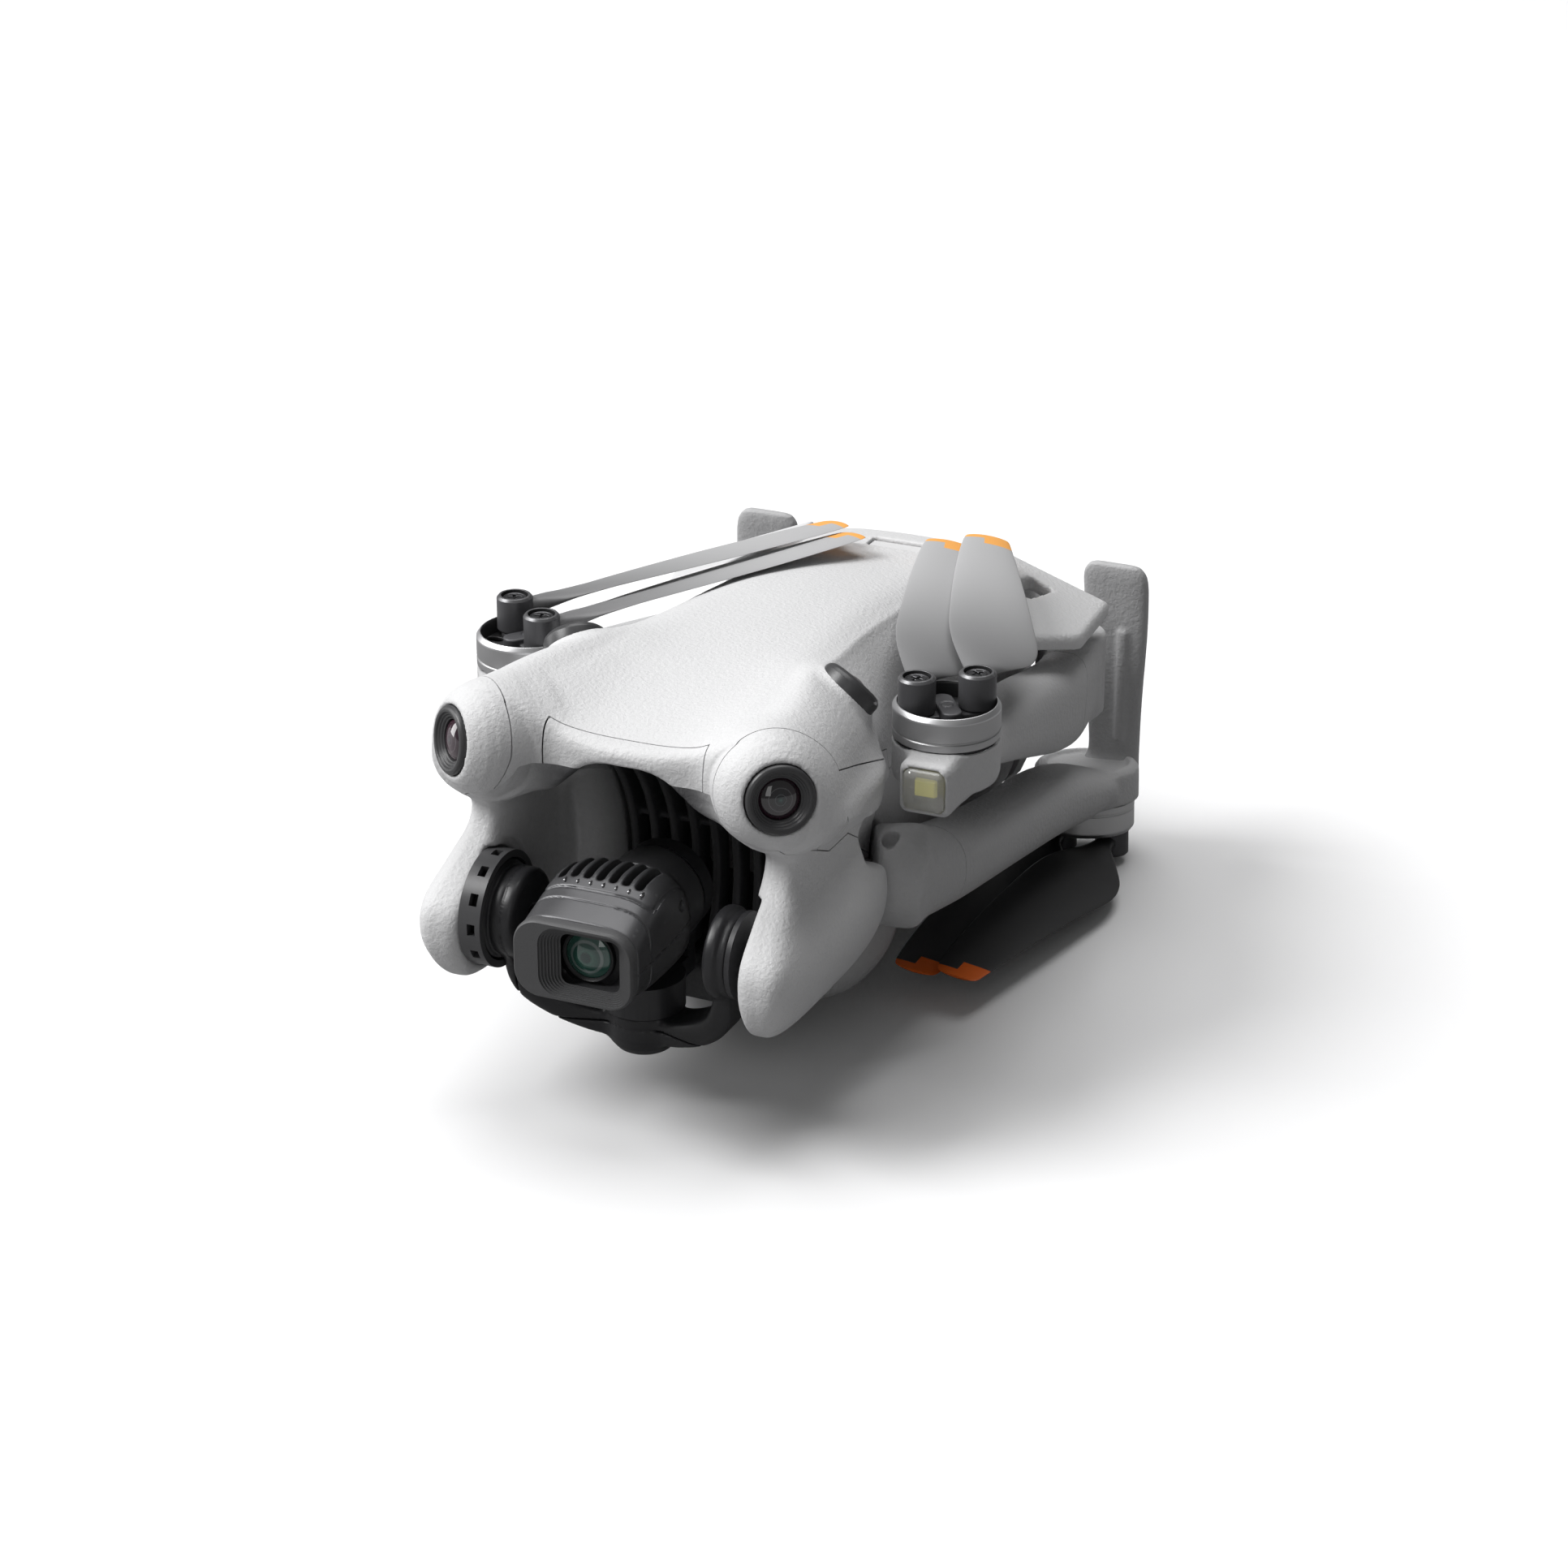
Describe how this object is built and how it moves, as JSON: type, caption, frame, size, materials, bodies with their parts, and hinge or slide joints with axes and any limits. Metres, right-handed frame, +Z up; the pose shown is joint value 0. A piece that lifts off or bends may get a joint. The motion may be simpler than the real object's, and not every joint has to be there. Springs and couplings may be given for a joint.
{
  "type": "folding camera drone",
  "caption": "Palm-size folding quadcopter in its folded pose: grained grey shell, paired vision lenses, gimbal camera slung between cheek guards, swing-out arms with folding blades.",
  "frame": {"origin": "middle of the bounding box in plan, at its lowest point: X = 0 is the mirror plane, Z = 0 is the level of the lowest folded blade hub, about 6.4 mm under the belly plate", "axes": "+Z up, -Y is the flight direction the camera looks along, +X is the side of the aircraft whose folded arm is nearer the viewer"},
  "size_m": [0.094, 0.1528, 0.0706],
  "materials": {
    "shell_plastic": "fine grained matt",
    "arm_plastic": "fine grained matt",
    "upper_blade": "satin, light orange tips",
    "lower_blade": "satin, deep orange tips",
    "motor_can": "satin turned",
    "steel": "satin",
    "stator": "lacquered",
    "gimbal_black": "satin",
    "camera_shell": "metallic satin",
    "lens_glass": "polished",
    "coated_lens": "polished, green coating",
    "lamp_diffuser": "translucent",
    "circuit_board": "solder mask",
    "heat_sink": "cast",
    "battery_case": "fine grained matt",
    "detail_plastic": "smooth matt",
    "intake": "matt"
  },
  "bodies": {
    "airframe": {"top_shell": "shell_plastic", "lower_shell": "shell_plastic", "nose_cover": "shell_plastic", "tail_deck": "shell_plastic", "cheek_guards": "shell_plastic", "intake_grille": "intake", "front_lens_rings": "gimbal_black", "front_lens_glass": "lens_glass", "rear_lens_rings": "gimbal_black", "rear_lens_glass": "lens_glass", "main_board": "circuit_board", "heat_sink": "heat_sink", "status_leds": "lamp_diffuser", "belly_window": "motor_can", "belly_lenses": "motor_can", "belly_light": "motor_can", "arm_pins": "steel", "shell_screws": "steel", "tilt_motor": "gimbal_black", "tilt_bearing": "gimbal_black"},
    "rear_arm_right": {"rear_arm_right": "arm_plastic", "lamp_right": "lamp_diffuser", "stator_rear_right": "stator"},
    "front_arm_right": {"front_arm_right": "arm_plastic", "leg_right": "arm_plastic", "stator_front_right": "stator"},
    "rotor_rear_right": {"bell_rear_right": "motor_can", "clamp_rear_right": "steel"},
    "blade_rear_right_outer": {"blade_rear_right_outer": "upper_blade"},
    "blade_rear_right_inner": {"blade_rear_right_inner": "upper_blade"},
    "rotor_front_right": {"bell_front_right": "motor_can", "clamp_front_right": "steel"},
    "blade_front_right_outer": {"blade_front_right_outer": "lower_blade"},
    "blade_front_right_inner": {"blade_front_right_inner": "lower_blade"},
    "rear_arm_left": {"rear_arm_left": "arm_plastic", "lamp_left": "lamp_diffuser", "stator_rear_left": "stator"},
    "front_arm_left": {"front_arm_left": "arm_plastic", "leg_left": "arm_plastic", "stator_front_left": "stator"},
    "rotor_rear_left": {"bell_rear_left": "motor_can", "clamp_rear_left": "steel"},
    "blade_rear_left_outer": {"blade_rear_left_outer": "upper_blade"},
    "blade_rear_left_inner": {"blade_rear_left_inner": "upper_blade"},
    "rotor_front_left": {"bell_front_left": "motor_can", "clamp_front_left": "steel"},
    "blade_front_left_outer": {"blade_front_left_outer": "lower_blade"},
    "blade_front_left_inner": {"blade_front_left_inner": "lower_blade"},
    "fan": {"fan_rotor": "gimbal_black"},
    "battery": {"battery_pack": "battery_case", "charge_port": "steel"},
    "latch_right": {"latch_right": "detail_plastic"},
    "latch_left": {"latch_left": "detail_plastic"},
    "power_button": {"power_button": "detail_plastic"},
    "gimbal_yoke": {"gimbal_yoke": "gimbal_black"},
    "pan_stage": {"pan_bracket": "gimbal_black"},
    "camera": {"camera_body": "camera_shell", "camera_bezel": "gimbal_black", "camera_lens": "coated_lens"}
  },
  "joints": [
    {"name": "rear_arm_right_hinge", "type": "hinge", "parent": "airframe", "child": "rear_arm_right", "pos_m": [0.031, 0.0607, 0.03786], "axis": [0, 0, 1], "range_deg": [0, 98]},
    {"name": "front_arm_right_hinge", "type": "hinge", "parent": "airframe", "child": "front_arm_right", "pos_m": [0.029, -0.0173, 0.02996], "axis": [-0.8893, -0.4453, 0.1045], "range_deg": [0, 165]},
    {"name": "rotor_rear_right_spin", "type": "hinge", "parent": "rear_arm_right", "child": "rotor_rear_right", "pos_m": [0.0381, -0.018, 0.06016], "axis": [0, 0, -1], "range_deg": [0, 165]},
    {"name": "blade_rear_right_outer_fold", "type": "hinge", "parent": "rotor_rear_right", "child": "blade_rear_right_outer", "pos_m": [0.0422, -0.015, 0.06416], "axis": [0, 0, -1], "range_deg": [0, 130]},
    {"name": "blade_rear_right_inner_fold", "type": "hinge", "parent": "rotor_rear_right", "child": "blade_rear_right_inner", "pos_m": [0.034, -0.021, 0.06416], "axis": [0, 0, 1], "range_deg": [0, 2]},
    {"name": "rotor_front_right_spin", "type": "hinge", "parent": "front_arm_right", "child": "rotor_front_right", "pos_m": [0.03318, 0.06585, 0.00829], "axis": [-0.0606, 0.1149, 0.9915], "range_deg": [0, 80]},
    {"name": "blade_front_right_outer_fold", "type": "hinge", "parent": "rotor_front_right", "child": "blade_front_right_outer", "pos_m": [0.0385, 0.06539, 0.00463], "axis": [-0.0606, 0.1149, 0.9915], "range_deg": [0, 120]},
    {"name": "blade_front_right_inner_fold", "type": "hinge", "parent": "rotor_front_right", "child": "blade_front_right_inner", "pos_m": [0.02835, 0.06539, 0.00401], "axis": [0.0606, -0.1149, -0.9915], "range_deg": [0, 60]},
    {"name": "rear_arm_left_hinge", "type": "hinge", "parent": "airframe", "child": "rear_arm_left", "pos_m": [-0.031, 0.0607, 0.03786], "axis": [0, 0, -1], "range_deg": [0, 98]},
    {"name": "front_arm_left_hinge", "type": "hinge", "parent": "airframe", "child": "front_arm_left", "pos_m": [-0.029, -0.0173, 0.02996], "axis": [-0.8893, 0.4453, -0.1045], "range_deg": [0, 165]},
    {"name": "rotor_rear_left_spin", "type": "hinge", "parent": "rear_arm_left", "child": "rotor_rear_left", "pos_m": [-0.0381, -0.018, 0.06016], "axis": [0, 0, 1], "range_deg": [0, 165]},
    {"name": "blade_rear_left_outer_fold", "type": "hinge", "parent": "rotor_rear_left", "child": "blade_rear_left_outer", "pos_m": [-0.0422, -0.015, 0.06416], "axis": [0, 0, 1], "range_deg": [0, 130]},
    {"name": "blade_rear_left_inner_fold", "type": "hinge", "parent": "rotor_rear_left", "child": "blade_rear_left_inner", "pos_m": [-0.034, -0.021, 0.06416], "axis": [0, 0, -1], "range_deg": [0, 2]},
    {"name": "rotor_front_left_spin", "type": "hinge", "parent": "front_arm_left", "child": "rotor_front_left", "pos_m": [-0.03318, 0.06585, 0.00829], "axis": [-0.0606, -0.1149, -0.9915], "range_deg": [0, 80]},
    {"name": "blade_front_left_outer_fold", "type": "hinge", "parent": "rotor_front_left", "child": "blade_front_left_outer", "pos_m": [-0.0385, 0.06539, 0.00463], "axis": [-0.0606, -0.1149, -0.9915], "range_deg": [0, 120]},
    {"name": "blade_front_left_inner_fold", "type": "hinge", "parent": "rotor_front_left", "child": "blade_front_left_inner", "pos_m": [-0.02835, 0.06539, 0.00401], "axis": [0.0606, 0.1149, 0.9915], "range_deg": [0, 60]},
    {"name": "fan_spin", "type": "hinge", "parent": "airframe", "child": "fan", "pos_m": [0, -0.0173, 0.05146], "axis": [0, 0, 1], "continuous": true},
    {"name": "battery_slide", "type": "slide", "parent": "airframe", "child": "battery", "axis": [0, 1, 0], "range_m": [0, 0.055]},
    {"name": "latch_right_press", "type": "slide", "parent": "battery", "child": "latch_right", "axis": [-1, 0, 0], "range_m": [0, 0.0012], "stiffness_N_per_m": 80},
    {"name": "latch_left_press", "type": "slide", "parent": "battery", "child": "latch_left", "axis": [1, 0, 0], "range_m": [0, 0.0012], "stiffness_N_per_m": 80},
    {"name": "power_button_press", "type": "slide", "parent": "airframe", "child": "power_button", "axis": [0, 0, -1], "range_m": [0, 0.0004], "stiffness_N_per_m": 300},
    {"name": "gimbal_tilt", "type": "hinge", "parent": "airframe", "child": "gimbal_yoke", "pos_m": [0, -0.0613, 0.03326], "axis": [1, 0, 0], "range_deg": [-30, 60]},
    {"name": "gimbal_pan", "type": "hinge", "parent": "gimbal_yoke", "child": "pan_stage", "pos_m": [0, -0.0533, 0.01646], "axis": [0, 0, 1], "range_deg": [-8, 8]},
    {"name": "gimbal_roll", "type": "hinge", "parent": "pan_stage", "child": "camera", "pos_m": [-0.0006, -0.0483, 0.03346], "axis": [0, -1, 0], "range_deg": [-15, 15]}
  ]
}
